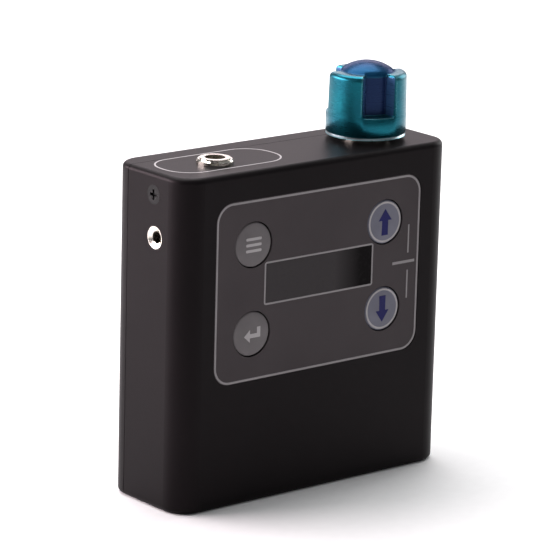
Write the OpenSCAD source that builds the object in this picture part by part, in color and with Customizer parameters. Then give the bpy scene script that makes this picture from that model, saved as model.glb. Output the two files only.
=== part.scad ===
// Wireless bodypack receiver with a phone jack, a volume knob, a small display and four keys.
// Origin at the middle of the base, +X to the right, the front faces -Y, +Z up, millimetres.

/* [Body] */
// Width of the body, side to side
body_w = 61; // [55:0.5:72]
// Depth of the body, front to back
body_d = 20.5; // [18.5:0.25:26]
// Height of the body without the knob
body_h = 60; // [54:0.5:72]
// Radius of the upright edges
edge_r = 4.5; // [3:0.25:5.5]
// Radius of the top and bottom edges
rim_r = 1; // [0.5:0.1:1.5]
// Thickness of the side walls
side_wall = 1.8; // [1.4:0.1:2.2]
// Thickness of the front wall
front_wall = 2; // [1.6:0.1:2.3]
// Thickness of the back wall and of the battery door
back_wall = 1.8; // [1.6:0.1:2]
// Thickness of the top and bottom walls
end_wall = 2; // [1.6:0.1:2.4]
// Depth of the rear shell, back face to parting line
rear_depth = 4.75; // [4:0.25:6]

/* [Front panel] */
// Width of the printed overlay
overlay_w = 46.6; // [44:0.2:50]
// Height of the printed overlay
overlay_h = 32.6; // [31:0.2:36]
// Distance from the top of the body down to the overlay
overlay_drop = 5.05; // [3:0.05:7]
// Corner radius of the overlay
overlay_r = 3.5; // [1:0.25:4]
// Thickness of the overlay and of the display window
overlay_t = 0.4; // [0.25:0.05:0.6]
// Width of the display window
window_w = 24.1; // [20:0.1:24.4]
// Height of the display window
window_h = 7; // [5:0.1:7.4]
// Height of the window's middle above the middle of the four keys
window_rise = 0.65; // [0:0.05:1]
// Diameter of a key
key_d = 8; // [6:0.1:8.4]
// Distance from the window's end to the axis of the keys beside it
key_gap = 2.95; // [2.65:0.05:5]
// Distance between the two rows of keys
key_pitch_z = 16; // [15:0.1:18]
// Distance from the top of the body down to the upper keys
key_drop = 13.15; // [12:0.05:13.5]
// How far a key can be pressed
key_travel = 0.35; // [0.2:0.05:0.38]

/* [Knob] */
// Distance from the right side to the knob's axis
knob_inset = 12; // [11:0.1:14]
// Diameter of the knob
knob_d = 14.5; // [13:0.1:16]
// Diameter of the core between the lobes
knob_core_d = 9.5; // [8:0.1:10]
// Gap between the knob and the top of the body
knob_gap = 0.8; // [0.5:0.1:1.2]
// Height of the plain ring at the foot of the knob
knob_ring_h = 4.1; // [3.8:0.1:6]
// Height of the lobes above the ring
knob_lobe_h = 7.4; // [5:0.1:9]
// Height of the dome above the core's side
knob_dome_h = 1.6; // [1:0.1:3]
// Angle that one lobe takes up
lobe_angle = 70; // [45:1:80]
// Number of lobes
lobe_count = 3; // [3:1:4]
// Angle of the first flute's middle, seen from above
flute_angle = 250; // [0:1:360]
// Diameter of the pot's shaft
shaft_d = 4; // [3:0.1:4.4]
// Outside diameter of the pot's threaded bush
pot_bush_d = 6; // [5.6:0.1:6.4]

/* [Phone jack] */
// Distance from the left side to the jack's axis
jack_inset = 13.2; // [12:0.1:16]
// Diameter of the jack's mouth, for a 3.5 mm plug
jack_bore_d = 3.6; // [3.55:0.01:3.7]
// Outside diameter of the jack's threaded ferrule
jack_ferrule_d = 5.4; // [4.8:0.1:6]
// Outside diameter of the jack's nut
jack_nut_d = 6.6; // [6:0.1:8]
// Height of the jack's nut
jack_nut_h = 0.9; // [0.8:0.1:2]

/* [Sides] */
// Diameter of a clip bush's bright rim
bush_d = 4; // [4:0.1:6]
// Diameter of a clip bush's hole
bush_bore_d = 2.2; // [1.6:0.05:2.6]
// Distance from the top of the body down to the clip bushes
bush_drop = 11.4; // [10:0.1:16]
// How far the clip bushes sit in front of the middle
bush_forward = 2.2; // [0:0.1:4]
// Distance from the top of the body down to the side screws
side_screw_drop = 3.9; // [3.8:0.1:4.4]
// How far the side screws sit in front of the middle
side_screw_forward = 1.65; // [0:0.05:3]

/* [Battery] */
// Width of the battery pack
battery_w = 40; // [36:0.1:40.4]
// Height of the battery pack
battery_h = 35.3; // [30:0.1:36]
// Thickness of the battery pack
battery_t = 6; // [4:0.1:6.2]
// Thickness of the battery tray's walls
tray_wall = 0.8; // [0.6:0.1:0.9]
// Free space round the battery pack
battery_gap = 0.3; // [0.2:0.05:0.4]
// Diameter of the door's hinge pin
hinge_pin_d = 0.8; // [0.6:0.05:0.9]

/* [Boards] */
// Thickness of a circuit board
board_t = 1; // [0.8:0.1:1.1]
// Height of a tact switch
switch_h = 1.6; // [1.4:0.1:2]
// Distance between the two boards
board_spacing = 1.8; // [1.5:0.1:2.4]
// Width of the control board
control_w = 42; // [40:0.5:44]
// Height of the control board
control_h = 30; // [29:0.5:33]
// Width of the main board
main_w = 40; // [38:0.5:41]

/* [Hidden] */
$fn = 64;

// Clearances shared by the fits
fit_gap = 0.02;
slip_gap = 0.05;
part_gap = 0.1;
seam_gap = 0.12;
swing_gap = 0.25;
over = 1;

// Faces of the body and of the space inside it
half_w = body_w / 2;
half_d = body_d / 2;
front_y = -half_d;
back_y = half_d;
split_y = back_y - rear_depth;
inner_x = half_w - side_wall;
inner_front = front_y + front_wall;
inner_back = back_y - back_wall;
inner_bottom = end_wall;
inner_top = body_h - end_wall;

// Overlay, window and keys
overlay_inset = 0.1;
overlay_front = front_y + overlay_inset;
overlay_back = overlay_front + overlay_t;
overlay_z = body_h - overlay_drop - overlay_h / 2;
key_top = body_h - key_drop;
key_low = key_top - key_pitch_z;
key_mid = (key_top + key_low) / 2;
key_right = window_w / 2 + key_gap;
key_left = -key_right;
key_places = [[key_left, key_top], [key_left, key_low], [key_right, key_top], [key_right, key_low]];
key_play = 0.15;
key_lap = 0.35;
key_r = key_d / 2;
key_hole_r = key_r + key_play;
key_flange_r = key_hole_r + key_lap;
key_flange_t = 0.4;
key_inset = slip_gap;
key_stem_r = 1.5;
key_stem_h = 0.2;
window_z = key_mid + window_rise;
window_ledge = 0.6;
glass_lap = 0.3;
glass_w = window_w - 2 * window_ledge + 2 * glass_lap;
glass_h = window_h - 2 * window_ledge + 2 * glass_lap;
glass_t = 1.6;
holder_clip_w = 0.8;
holder_clip_h = 4;

// Boards, from the front wall backwards
actuator_r = 1.1;
actuator_rise = key_travel + slip_gap;
actuator_front = inner_front + slip_gap + key_flange_t + key_stem_h;
switch_size = 4.6;
switch_floor = 0.25;
switch_front = actuator_front + actuator_rise;
control_front = switch_front + switch_h;
control_back = control_front + board_t;
control_rise = 0.15;
control_z = key_mid + control_rise;
actuator_back = control_front - switch_floor - key_travel - part_gap;
main_front = control_back + board_spacing;
main_back = main_front + board_t;
main_rise = 2.5;
main_bottom = inner_bottom + main_rise;

// Board fixings
screw_r = 0.8;
screw_head_r = 1.5;
screw_head_h = 0.8;
standoff_r = 1.9;
screw_point = 0.6;
screw_end_y = inner_front + screw_point;
main_screw_len = 4;
post_floor = 0.2;
post_margin = 2;
post_below = 5.35;
post_above = 5.65;
main_post_rise = 3.5;
main_post_x = main_w / 2 - post_margin;
main_post_z = main_bottom + main_post_rise;
link_inset = 2.2;
link_drop = 0.6;
link_x = main_w / 2 - link_inset;
link_post_z = window_z - link_drop;
link_places = [[-link_x, link_post_z], [link_x, link_post_z]];
control_places = [[0, key_low - post_below], [0, key_top + post_above]];
main_places = [[-main_post_x, main_post_z], [main_post_x, main_post_z]];
main_margin = 4.1;
main_top = link_post_z + main_margin;
link_rise = 1;
link_z = key_low + link_rise;
link_w = 10;
link_h = 3;

// Parts on the main board
radio_x = -9;
radio_rise = 10;
radio_z = main_bottom + radio_rise;
radio_w = 12;
radio_h = 13;
radio_can_h = 1.5;
radio_can_t = 0.25;
radio_chip = 6;
chip_t = 0.9;
chip_thin = 0.7;
chip_size = 7;
chip_x = 8;
chip_rise = 14;
chip_z = main_bottom + chip_rise;
memory_w = 5;
memory_h = 4;
memory_rise = 6;
memory_z = main_bottom + memory_rise;
regulator_w = 3;
regulator_h = 2.4;
regulator_x = 15.5;
regulator_rise = 12;
regulator_z = main_bottom + regulator_rise;

// Knob and pot
knob_x = half_w - knob_inset;
knob_r = knob_d / 2;
knob_core_r = knob_core_d / 2;
knob_foot = body_h + knob_gap;
knob_ring_top = knob_foot + knob_ring_h;
knob_lobe_top = knob_ring_top + knob_lobe_h;
core_step = 0.2;
knob_core_top = knob_lobe_top + core_step;
knob_apex = knob_core_top + knob_dome_h;
knob_dome_r = (knob_core_r * knob_core_r + knob_dome_h * knob_dome_h) / (2 * knob_dome_h);
knob_dome_angle = asin(knob_core_r / knob_dome_r);
knob_dome_steps = 8;
knob_lip = 0.4;
knob_lip_h = 0.5;
knob_draft = 0.15;
lobe_round = 0.9;
flute_step = 360 / lobe_count;
set_screw_angle = flute_angle - flute_step;
set_screw_r = 1;
set_screw_z = knob_ring_top + knob_lobe_h / 2;
hex_key_d = 1.1;
hex_key_depth = 0.9;
shaft_r = shaft_d / 2;
pot_bush_r = pot_bush_d / 2;
pot_w = 9.8;
pot_d = 6.4;
pot_h = 8;
pot_bottom = inner_top - pot_h;
pot_floor = 2;
washer_rim = 1.4;
washer_r = pot_bush_r + washer_rim;
washer_t = 0.5;
nut_wall = 1;
nut_flats = pot_bush_d + 2 * nut_wall;
nut_corner_r = nut_flats / sqrt(3);
nut_h = 2;
nut_top = body_h + washer_t + nut_h;
nut_room = 0.7;
recess_r = nut_corner_r + nut_room;
thread_end = 0.5;
pot_bush_top = nut_top + thread_end;
recess_room = 0.4;
recess_top = pot_bush_top + recess_room;
shaft_bottom = pot_bottom + pot_floor + part_gap;
shaft_cover = 1;
shaft_top = knob_lobe_top - shaft_cover;
terminal_w = 0.8;
terminal_t = 0.4;
terminal_pitch = 2.5;
terminal_rise = 1;
terminal_z = pot_bottom + terminal_rise;

// Phone jack
jack_x = -half_w + jack_inset;
jack_bore_r = jack_bore_d / 2;
jack_ferrule_r = jack_ferrule_d / 2;
jack_lip = 0.5;
jack_collar_r = jack_ferrule_r + jack_lip;
jack_collar_h = 1.5;
jack_play = 0.4;
jack_wall = 0.55;
jack_w = 8;
jack_d = 2 * (jack_bore_r + jack_play + jack_wall);
jack_y = control_back + part_gap + jack_d / 2;
jack_head_wall = 0.3;
jack_head_d = 2 * (jack_collar_r + jack_head_wall);
jack_head_floor = 0.8;
jack_head_h = jack_collar_h + jack_head_floor;
jack_h = 12.5;
jack_bottom = inner_top - jack_h;
jack_floor = 1;
jack_thread_end = 0.2;
jack_top = body_h + jack_nut_h + jack_thread_end;
jack_chamfer = 0.3;
jack_slot_w = 1.4;
jack_slot_h = 0.6;
jack_slot_angle = 50;
leaf_w = 1.6;
leaf_t = 0.3;
leaf_h = 2.4;
leaf_rise = 2.4;
leaf_pitch = 3.3;
leaf_places = [for (i = [0:2]) jack_bottom + leaf_rise + i * leaf_pitch];

// Side screws and bushes of the case
slot_w = 0.5;
slot_reach = 1.1;
side_head_r = 1.7;
side_screw_r = 0.9;
side_screw_short = 0.4;
side_screw_z = body_h - side_screw_drop;
ear_w = 3.4;
ear_below = 2.1;
ear_bottom = side_screw_z - ear_below;
ear_top = inner_top - part_gap;
ear_reach = 2.5;
ear_front = -side_screw_forward - ear_reach;
bush_r = bush_d / 2;
bush_bore_r = bush_bore_d / 2;
bush_z = body_h - bush_drop;
bush_inside = 2.2;
bush_len = side_wall + bush_inside;
bush_sink = 0.4;

// Battery, its tray and its door
battery_rise = 4.7;
battery_bottom = inner_bottom + battery_rise;
battery_top = battery_bottom + battery_h;
battery_back = inner_back - swing_gap;
battery_front = battery_back - battery_t;
battery_y = battery_front + battery_t / 2;
battery_r = 1.2;
battery_z = battery_bottom + battery_h / 2;
tray_in_w = battery_w + 2 * battery_gap;
tray_in_h = battery_h + 2 * battery_gap;
tray_play = 0.2;
tray_front = battery_front - tray_play - tray_wall;
tray_bottom = battery_bottom - battery_gap - tray_wall;
label_t = 0.15;
label_margin = 2;
pad_w = 3;
pad_d = 1.6;
pad_t = 0.2;
contact_pitch = 4;
contact_places = [-contact_pitch, 0, contact_pitch];
door_z0 = battery_bottom - battery_gap;
door_z1 = battery_top + battery_gap;
door_left = -tray_in_w / 2;
knuckle_r = back_wall / 2;
hinge_room = 0.5;
hinge_x = tray_in_w / 2 + tray_wall + hinge_room;
hinge_y = back_y - knuckle_r;
knuckle_room = 0.4;
hinge_relief = knuckle_r + knuckle_room;
hinge_pin_r = hinge_pin_d / 2;
hinge_pin_grip = 2.5;
notch_r = 5;
notch_out = 1;
notch_depth = 0.9;
grip_count = 4;
grip_pitch = 1.6;
grip_w = 0.7;
grip_depth = 0.35;
grip_h = 12;
grip_in = 3;

// Case screws, beside the hinge pin
case_screw_r = 0.9;
case_head_r = 1.7;
case_head_h = 1.1;
case_post_r = 1.9;
case_screw_room = 0.2;
case_screw_z = inner_bottom + case_post_r + part_gap;
case_screw_x = hinge_x + hinge_pin_r + case_screw_room + case_head_r + part_gap;
case_screw_len = 4;
case_screw_end = split_y - case_screw_len;

// Contacts
pin_r = 0.5;
pin_rise = 1.2;
pin_bottom = inner_bottom + pin_rise;
pin_tail_rise = 0.2;
pin_tail_z = main_bottom + pin_tail_rise;
pin_tail_h = 0.5;
block_w = 14;
block_d = 4.4;
block_y0 = battery_y - block_d / 2;
block_y1 = battery_y + block_d / 2;
charge_reach = 0.8;
charge_y = main_front - charge_reach;
charge_w = 13;
charge_d = 4.4;
charge_flange = 1.2;
charge_flange_t = 1.2;
charge_pad_r = 1.2;
charge_inset = 0.2;
charge_pad_rise = 0.4;
charge_pad_top = inner_bottom + charge_pad_rise;
charge_tail_rise = 0.5;
charge_tail_z = main_bottom + charge_tail_rise;
charge_tail_h = 0.5;

// Shared shapes

// Flat rectangle with round corners, centred
module round_rect(w, h, r) {
    square([w - 2 * r, h], center = true);
    square([w, h - 2 * r], center = true);
    for (x = [-1, 1], y = [-1, 1])
        translate([x * (w / 2 - r), y * (h / 2 - r)]) circle(r);
}

// Outline in the XZ plane drawn out along Y
module extrude_y(y0, y1) {
    translate([0, y1, 0]) rotate([90, 0, 0]) linear_extrude(y1 - y0) children();
}

// Outline in the YZ plane drawn out along X
module extrude_x(x0, x1) {
    translate([x0, 0, 0]) rotate([90, 0, 90]) linear_extrude(x1 - x0) children();
}

// Box between two corners
module box(low, high) {
    translate(low) cube(high - low);
}

// Round bar along Y at the place [x, z]
module rod_y(place, y0, y1, r) {
    translate([place[0], y1, place[1]]) rotate([90, 0, 0]) cylinder(r = r, h = y1 - y0);
}

// Round bar along Z at the place [x, y]
module rod_z(place, z0, z1, r) {
    translate([place[0], place[1], z0]) cylinder(r = r, h = z1 - z0);
}

// Screw along Y with its head at the back: the seat is under the head
module board_screw(place, seat, end) {
    difference() {
        union() {
            rod_y(place, end, seat, screw_r);
            rod_y(place, seat, seat + screw_head_h, screw_head_r);
        }
        cross_slot(place, seat + screw_head_h, screw_head_r);
    }
}

// Cross recess in the back of a screw head
module cross_slot(place, y, head_r) {
    for (turn = [0, 90])
        translate([place[0], y, place[1]]) rotate([0, turn, 0])
            cube([slot_reach * head_r, slot_w * 2, slot_w], center = true);
}

// Outer form of the closed body
module body_solid() {
    core_w = body_w - 2 * edge_r;
    core_d = body_d - 2 * edge_r;
    extrude_x(-core_w / 2, core_w / 2) translate([0, body_h / 2]) round_rect(body_d, body_h, rim_r);
    extrude_y(-core_d / 2, core_d / 2) translate([0, body_h / 2]) round_rect(body_w, body_h, rim_r);
    for (x = [-1, 1], y = [-1, 1])
        translate([x * core_w / 2, y * core_d / 2, 0]) rotate_extrude() intersection() {
            translate([0, body_h / 2]) round_rect(2 * edge_r, body_h, rim_r);
            square([edge_r, body_h]);
        }
}

// Space inside the body
module cavity() {
    translate([0, (inner_front + inner_back) / 2, inner_bottom])
        linear_extrude(inner_top - inner_bottom)
            round_rect(2 * inner_x, inner_back - inner_front, edge_r - side_wall);
}

// Case

module front_housing() color([0.12, 0.11, 0.115]) {
    difference() {
        body_solid();
        cavity();
        box([-body_w, split_y, -over], [body_w, body_d, body_h + over]);
        extrude_y(front_y - over, overlay_back) translate([0, overlay_z])
            round_rect(overlay_w + 2 * slip_gap, overlay_h + 2 * slip_gap, overlay_r);
        extrude_y(front_y, inner_front + over) translate([0, window_z])
            square([window_w - 2 * window_ledge, window_h - 2 * window_ledge], center = true);
        for (place = key_places)
            rod_y(place, front_y, inner_front + over, key_hole_r);
        rod_z([jack_x, jack_y], inner_top - over, body_h + over, jack_ferrule_r + slip_gap);
        rod_z([knob_x, 0], inner_top - over, body_h + over, pot_bush_r + slip_gap);
        box([-charge_w / 2 - slip_gap, charge_y - charge_d / 2 - slip_gap, -over],
            [charge_w / 2 + slip_gap, charge_y + charge_d / 2 + slip_gap, inner_bottom + over]);
        for (side = [-1, 1]) {
            bush_hole(side);
            side_screw(side, fit_gap, over);
        }
    }
}

// Post on the front wall with a screw hole in its end
module post(place, end) {
    difference() {
        rod_y(place, inner_front, end, standoff_r);
        rod_y(place, inner_front + post_floor, end + over, screw_r + fit_gap);
    }
}

module board_posts() color([0.78, 0.66, 0.35]) {
    for (place = concat(link_places, control_places)) post(place, control_front);
    for (place = main_places) post(place, main_front);
}

// Posts from front wall to back wall that the case screws bite into
module case_posts() color([0.5, 0.5, 0.52]) {
    for (side = [-1, 1])
        difference() {
            intersection() {
                rod_y([side * case_screw_x, case_screw_z], inner_front - over, inner_back + over,
                      case_post_r);
                cavity();
            }
            rod_y([side * case_screw_x, case_screw_z], case_screw_end - over, inner_back + over,
                  case_screw_r + fit_gap);
        }
}

module bush_hole(side) {
    translate([side * half_w, -bush_forward, bush_z]) rotate([0, -side * 90, 0])
        translate([0, 0, -over]) cylinder(r = bush_r + fit_gap, h = bush_len + over);
}

// Countersunk side screw, or the hole for it: wider by the gap and drawn out past the surface
module side_screw(side, gap, out) {
    end = side_wall + ear_w - side_screw_short + gap;
    translate([side * half_w, -side_screw_forward, side_screw_z]) rotate([0, -side * 90, 0])
        rotate_extrude() polygon([
            [0, -out],
            [side_head_r + gap, -out],
            [side_head_r + gap, 0],
            [side_screw_r + gap, side_head_r - side_screw_r],
            [side_screw_r + gap, end],
            [0, end]
        ]);
}

module rear_shell() color([0.12, 0.11, 0.115]) {
    difference() {
        union() {
            difference() {
                body_solid();
                cavity();
                box([-body_w, -body_d, -over], [body_w, split_y + seam_gap, body_h + over]);
            }
            for (side = [-1, 1]) ear(side);
        }
        for (side = [-1, 1]) {
            side_screw(side, fit_gap, over);
            rod_y([side * case_screw_x, case_screw_z], inner_back - over, back_y + over,
                  case_screw_r + part_gap);
            rod_y([side * case_screw_x, case_screw_z], back_y - case_head_h, back_y + over,
                  case_head_r + part_gap);
        }
        box([door_left, inner_back - over, door_z0], [hinge_x, back_y + over, door_z1]);
        rod_z([hinge_x, hinge_y], door_z0, door_z1, hinge_relief);
        box([hinge_x, hinge_y, door_z0], [hinge_x + hinge_relief, back_y + over, door_z1]);
        rod_z([hinge_x, hinge_y], door_z0 - hinge_pin_grip, door_z1 + hinge_pin_grip,
              hinge_pin_r + fit_gap);
        rod_y([door_left - notch_out, battery_z], back_y - notch_depth, back_y + over, notch_r);
    }
}

// Lug of the rear shell that the side screw holds
module ear(side) {
    low = [inner_x - part_gap - ear_w, ear_front, ear_bottom];
    high = [inner_x - part_gap, inner_back + over / 2, ear_top];
    web = [inner_x + over / 2, inner_back + over / 2, ear_top];
    mirror([side < 0 ? 1 : 0, 0, 0]) {
        box(low, high);
        box([low[0], split_y + seam_gap, low[2]], web);
    }
}

module case_screws() color([0.2, 0.2, 0.21]) {
    for (side = [-1, 1]) {
        place = [side * case_screw_x, case_screw_z];
        difference() {
            union() {
                rod_y(place, case_screw_end, back_y - case_head_h, case_screw_r);
                rod_y(place, back_y - case_head_h, back_y - part_gap, case_head_r);
            }
            cross_slot(place, back_y - part_gap, case_head_r);
        }
    }
}

module side_screws() color([0.16, 0.16, 0.17]) {
    for (side = [-1, 1])
        difference() {
            side_screw(side, 0, 0);
            translate([side * half_w, -side_screw_forward, side_screw_z])
                for (turn = [0, 90])
                    rotate([turn, 0, 0])
                        cube([slot_w * 2, slot_reach * side_head_r, slot_w], center = true);
        }
}

// Bright bush that takes the end of a wire belt clip
module clip_bush(side) {
    translate([side * half_w, -bush_forward, bush_z]) rotate([0, -side * 90, 0]) difference() {
        cylinder(r = bush_r, h = bush_len);
        translate([0, 0, -over]) cylinder(r = bush_bore_r, h = bush_len + 2 * over);
        translate([0, 0, -fit_gap])
            cylinder(r1 = bush_r - part_gap, r2 = bush_bore_r, h = bush_sink + fit_gap);
    }
}

module clip_bush_left() color([0.8, 0.79, 0.76]) clip_bush(-1);

module clip_bush_right() color([0.8, 0.79, 0.76]) clip_bush(1);

// Front panel

module front_overlay() color([0.22, 0.2, 0.21]) {
    difference() {
        extrude_y(overlay_front, overlay_back) translate([0, overlay_z])
            round_rect(overlay_w, overlay_h, overlay_r);
        extrude_y(overlay_front - over, overlay_back + over) translate([0, window_z])
            square([window_w + 2 * slip_gap, window_h + 2 * slip_gap], center = true);
        for (place = key_places)
            rod_y(place, overlay_front - over, overlay_back + over, key_hole_r);
    }
}

module display_window() color([0.1, 0.1, 0.11]) {
    extrude_y(overlay_front, overlay_back) translate([0, window_z])
        square([window_w, window_h], center = true);
}

module display_glass() color([0.24, 0.26, 0.24]) {
    extrude_y(inner_front, inner_front + glass_t) translate([0, window_z])
        square([glass_w, glass_h], center = true);
}

// Backing plate with a clip at each end of the glass
module display_holder() color([0.85, 0.85, 0.83]) {
    clip_x = glass_w / 2 + slip_gap;
    extrude_y(inner_front + glass_t, control_front) translate([0, window_z])
        square([2 * (clip_x + holder_clip_w), glass_h], center = true);
    for (side = [-1, 1])
        extrude_y(inner_front, inner_front + glass_t + part_gap)
            translate([side * (clip_x + holder_clip_w / 2), window_z])
                square([holder_clip_w, holder_clip_h], center = true);
}

// Round key with a collar behind the wall and a stem that meets the switch
module key(place) {
    collar_front = inner_front + slip_gap;
    rod_y(place, front_y + key_inset, collar_front, key_r);
    rod_y(place, collar_front, collar_front + key_flange_t, key_flange_r);
    rod_y(place, collar_front, actuator_front, key_stem_r);
}

module key_menu() color([0.44, 0.42, 0.43]) key([key_left, key_top]);

module key_back() color([0.44, 0.42, 0.43]) key([key_left, key_low]);

module key_up() color([0.36, 0.37, 0.46]) key([key_right, key_top]);

module key_down() color([0.36, 0.37, 0.46]) key([key_right, key_low]);

// Plunger of a tact switch, which moves with its key
module actuator(place) {
    rod_y(place, actuator_front, actuator_back, actuator_r);
}

module actuator_menu() color([0.75, 0.3, 0.25]) actuator([key_left, key_top]);

module actuator_back() color([0.75, 0.3, 0.25]) actuator([key_left, key_low]);

module actuator_up() color([0.75, 0.3, 0.25]) actuator([key_right, key_top]);

module actuator_down() color([0.75, 0.3, 0.25]) actuator([key_right, key_low]);

module tact_switches() color([0.6, 0.6, 0.62]) {
    for (place = key_places)
        difference() {
            extrude_y(switch_front, control_front) translate(place) square(switch_size, center = true);
            rod_y(place, switch_front - over, control_front - switch_floor, actuator_r + slip_gap);
        }
}

// Boards

module control_board() color([0.05, 0.3, 0.15]) {
    difference() {
        extrude_y(control_front, control_back) translate([0, control_z])
            square([control_w, control_h], center = true);
        for (place = concat(link_places, control_places))
            rod_y(place, control_front - over, control_back + over, screw_r + part_gap);
    }
}

module main_board() color([0.05, 0.3, 0.15]) {
    difference() {
        box([-main_w / 2, main_front, main_bottom], [main_w / 2, main_back, main_top]);
        for (place = concat(link_places, main_places))
            rod_y(place, main_front - over, main_back + over, screw_r + part_gap);
    }
}

module board_plug() color([0.9, 0.88, 0.8]) {
    extrude_y(control_back, control_back + board_spacing / 2) translate([0, link_z])
        square([link_w, link_h], center = true);
}

module board_socket() color([0.15, 0.15, 0.16]) {
    extrude_y(control_back + board_spacing / 2, main_front) translate([0, link_z])
        square([link_w, link_h], center = true);
}

// Chip on the front of the main board: place of its middle, size, thickness
module chip(place, size, t) {
    extrude_y(main_front - t, main_front) translate(place) square(size, center = true);
}

module main_chips() color([0.1, 0.1, 0.1]) {
    chip([radio_x, radio_z], [radio_chip, radio_chip], chip_t);
    chip([chip_x, chip_z], [chip_size, chip_size], chip_t);
    chip([chip_x, memory_z], [memory_w, memory_h], chip_t);
    chip([regulator_x, regulator_z], [regulator_w, regulator_h], chip_thin);
}

// Thin metal can over the radio chip
module radio_shield() color([0.8, 0.8, 0.78]) {
    difference() {
        chip([radio_x, radio_z], [radio_w, radio_h], radio_can_h);
        extrude_y(main_front - radio_can_h + radio_can_t, main_front + over) translate([radio_x, radio_z])
            square([radio_w - 2 * radio_can_t, radio_h - 2 * radio_can_t], center = true);
    }
}

module board_spacers() color([0.78, 0.66, 0.35]) {
    for (place = link_places)
        difference() {
            rod_y(place, control_back, main_front, standoff_r);
            rod_y(place, control_back - over, main_front + over, screw_r + part_gap);
        }
}

module board_screws() color([0.75, 0.75, 0.74]) {
    for (place = link_places)
        board_screw(place, main_back, screw_end_y);
    for (place = main_places)
        board_screw(place, main_back, main_back - main_screw_len);
    for (place = control_places)
        board_screw(place, control_back, screw_end_y);
}

// Knob and pot

module volume_knob() color([0.1, 0.38, 0.46]) {
    difference() {
        translate([knob_x, 0, 0]) union() {
            rotate_extrude() knob_outline();
            for (i = [0:lobe_count - 1])
                rotate(flute_angle + (i + 0.5) * flute_step - lobe_angle / 2)
                    rotate_extrude(angle = lobe_angle) lobe_outline();
        }
        rod_z([knob_x, 0], knob_foot - over, recess_top, recess_r);
        rod_z([knob_x, 0], knob_foot - over, shaft_top + part_gap, shaft_r + fit_gap);
        set_screw_bar(shaft_r, knob_r, set_screw_r + fit_gap);
    }
}

// Half section of the knob without its lobes: a sloped foot, the ring, the core and the dome
module knob_outline() {
    polygon(concat(
        [
            [0, knob_foot],
            [knob_r - part_gap, knob_foot],
            [knob_r - knob_lip, knob_foot + knob_lip_h],
            [knob_r, knob_foot + knob_lip_h],
            [knob_r - knob_draft / 2, knob_ring_top],
            [knob_core_r, knob_ring_top],
            [knob_core_r, knob_core_top]
        ],
        [for (i = [1:knob_dome_steps]) let (a = knob_dome_angle * (1 - i / knob_dome_steps))
            [knob_dome_r * sin(a), knob_apex - knob_dome_r * (1 - cos(a))]]
    ));
}

// Half section of a lobe, with a round shoulder
module lobe_outline() {
    top_r = knob_r - knob_draft;
    polygon(concat(
        [[knob_core_r - over, knob_ring_top - over], [top_r, knob_ring_top - over]],
        [for (a = [0:15:90]) [top_r - lobe_round * (1 - cos(a)), knob_lobe_top - lobe_round * (1 - sin(a))]],
        [[knob_core_r - over, knob_lobe_top]]
    ));
}

// Bar along the set screw's axis, from one distance to another out from the knob's axis
module set_screw_bar(from, to, r) {
    translate([knob_x, 0, set_screw_z]) rotate([0, 90, set_screw_angle])
        translate([0, 0, from]) cylinder(r = r, h = to - from);
}

module knob_set_screw() color([0.3, 0.3, 0.31]) {
    difference() {
        set_screw_bar(shaft_r + fit_gap, knob_core_r - part_gap, set_screw_r);
        translate([knob_x, 0, set_screw_z]) rotate([0, 90, set_screw_angle])
            translate([0, 0, knob_core_r - part_gap - hex_key_depth])
                cylinder(d = hex_key_d, h = hex_key_depth + over, $fn = 6);
    }
}

module volume_pot() color([0.55, 0.56, 0.58]) {
    difference() {
        union() {
            box([knob_x - pot_w / 2, -pot_d / 2, pot_bottom], [knob_x + pot_w / 2, pot_d / 2, inner_top]);
            rod_z([knob_x, 0], inner_top - over, pot_bush_top, pot_bush_r);
        }
        rod_z([knob_x, 0], pot_bottom + pot_floor, pot_bush_top + over, shaft_r + slip_gap);
    }
}

module pot_shaft() color([0.8, 0.8, 0.78]) rod_z([knob_x, 0], shaft_bottom, shaft_top, shaft_r);

module pot_washer() color([0.75, 0.75, 0.74]) {
    difference() {
        rod_z([knob_x, 0], body_h, body_h + washer_t, washer_r);
        rod_z([knob_x, 0], body_h - over, body_h + washer_t + over, pot_bush_r + slip_gap);
    }
}

module pot_nut() color([0.8, 0.8, 0.78]) {
    difference() {
        translate([knob_x, 0, body_h + washer_t]) cylinder(r = nut_corner_r, h = nut_h, $fn = 6);
        rod_z([knob_x, 0], body_h, nut_top + over, pot_bush_r + fit_gap);
    }
}

// Tails from the pot to the back of the control board
module pot_terminals() color([0.85, 0.8, 0.6]) {
    for (i = [-1, 0, 1])
        box([knob_x + i * terminal_pitch - terminal_w / 2, control_back, terminal_z],
            [knob_x + i * terminal_pitch + terminal_w / 2, -pot_d / 2, terminal_z + terminal_t]);
}

// Phone jack

module jack_body() color([0.13, 0.13, 0.14]) {
    difference() {
        union() {
            box([jack_x - jack_w / 2, jack_y - jack_d / 2, jack_bottom],
                [jack_x + jack_w / 2, jack_y + jack_d / 2, inner_top]);
            box([jack_x - jack_w / 2, jack_y - jack_head_d / 2, inner_top - jack_head_h],
                [jack_x + jack_w / 2, jack_y + jack_head_d / 2, inner_top]);
        }
        rod_z([jack_x, jack_y], jack_bottom + jack_floor, inner_top + over, jack_bore_r + jack_play);
        rod_z([jack_x, jack_y], inner_top - jack_collar_h, inner_top + over, jack_collar_r + fit_gap);
        for (z = leaf_places)
            box([jack_x - leaf_w / 2 - part_gap, jack_y - jack_d / 2 - over, z - leaf_h / 2 - part_gap],
                [jack_x + leaf_w / 2 + part_gap, jack_y, z + leaf_h / 2 + part_gap]);
    }
}

module jack_ferrule() color([0.8, 0.78, 0.72]) {
    difference() {
        union() {
            rod_z([jack_x, jack_y], inner_top - jack_collar_h, inner_top, jack_collar_r);
            rod_z([jack_x, jack_y], inner_top - over, jack_top, jack_ferrule_r);
        }
        rod_z([jack_x, jack_y], inner_top - jack_collar_h - over, jack_top + over, jack_bore_r);
    }
}

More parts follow.
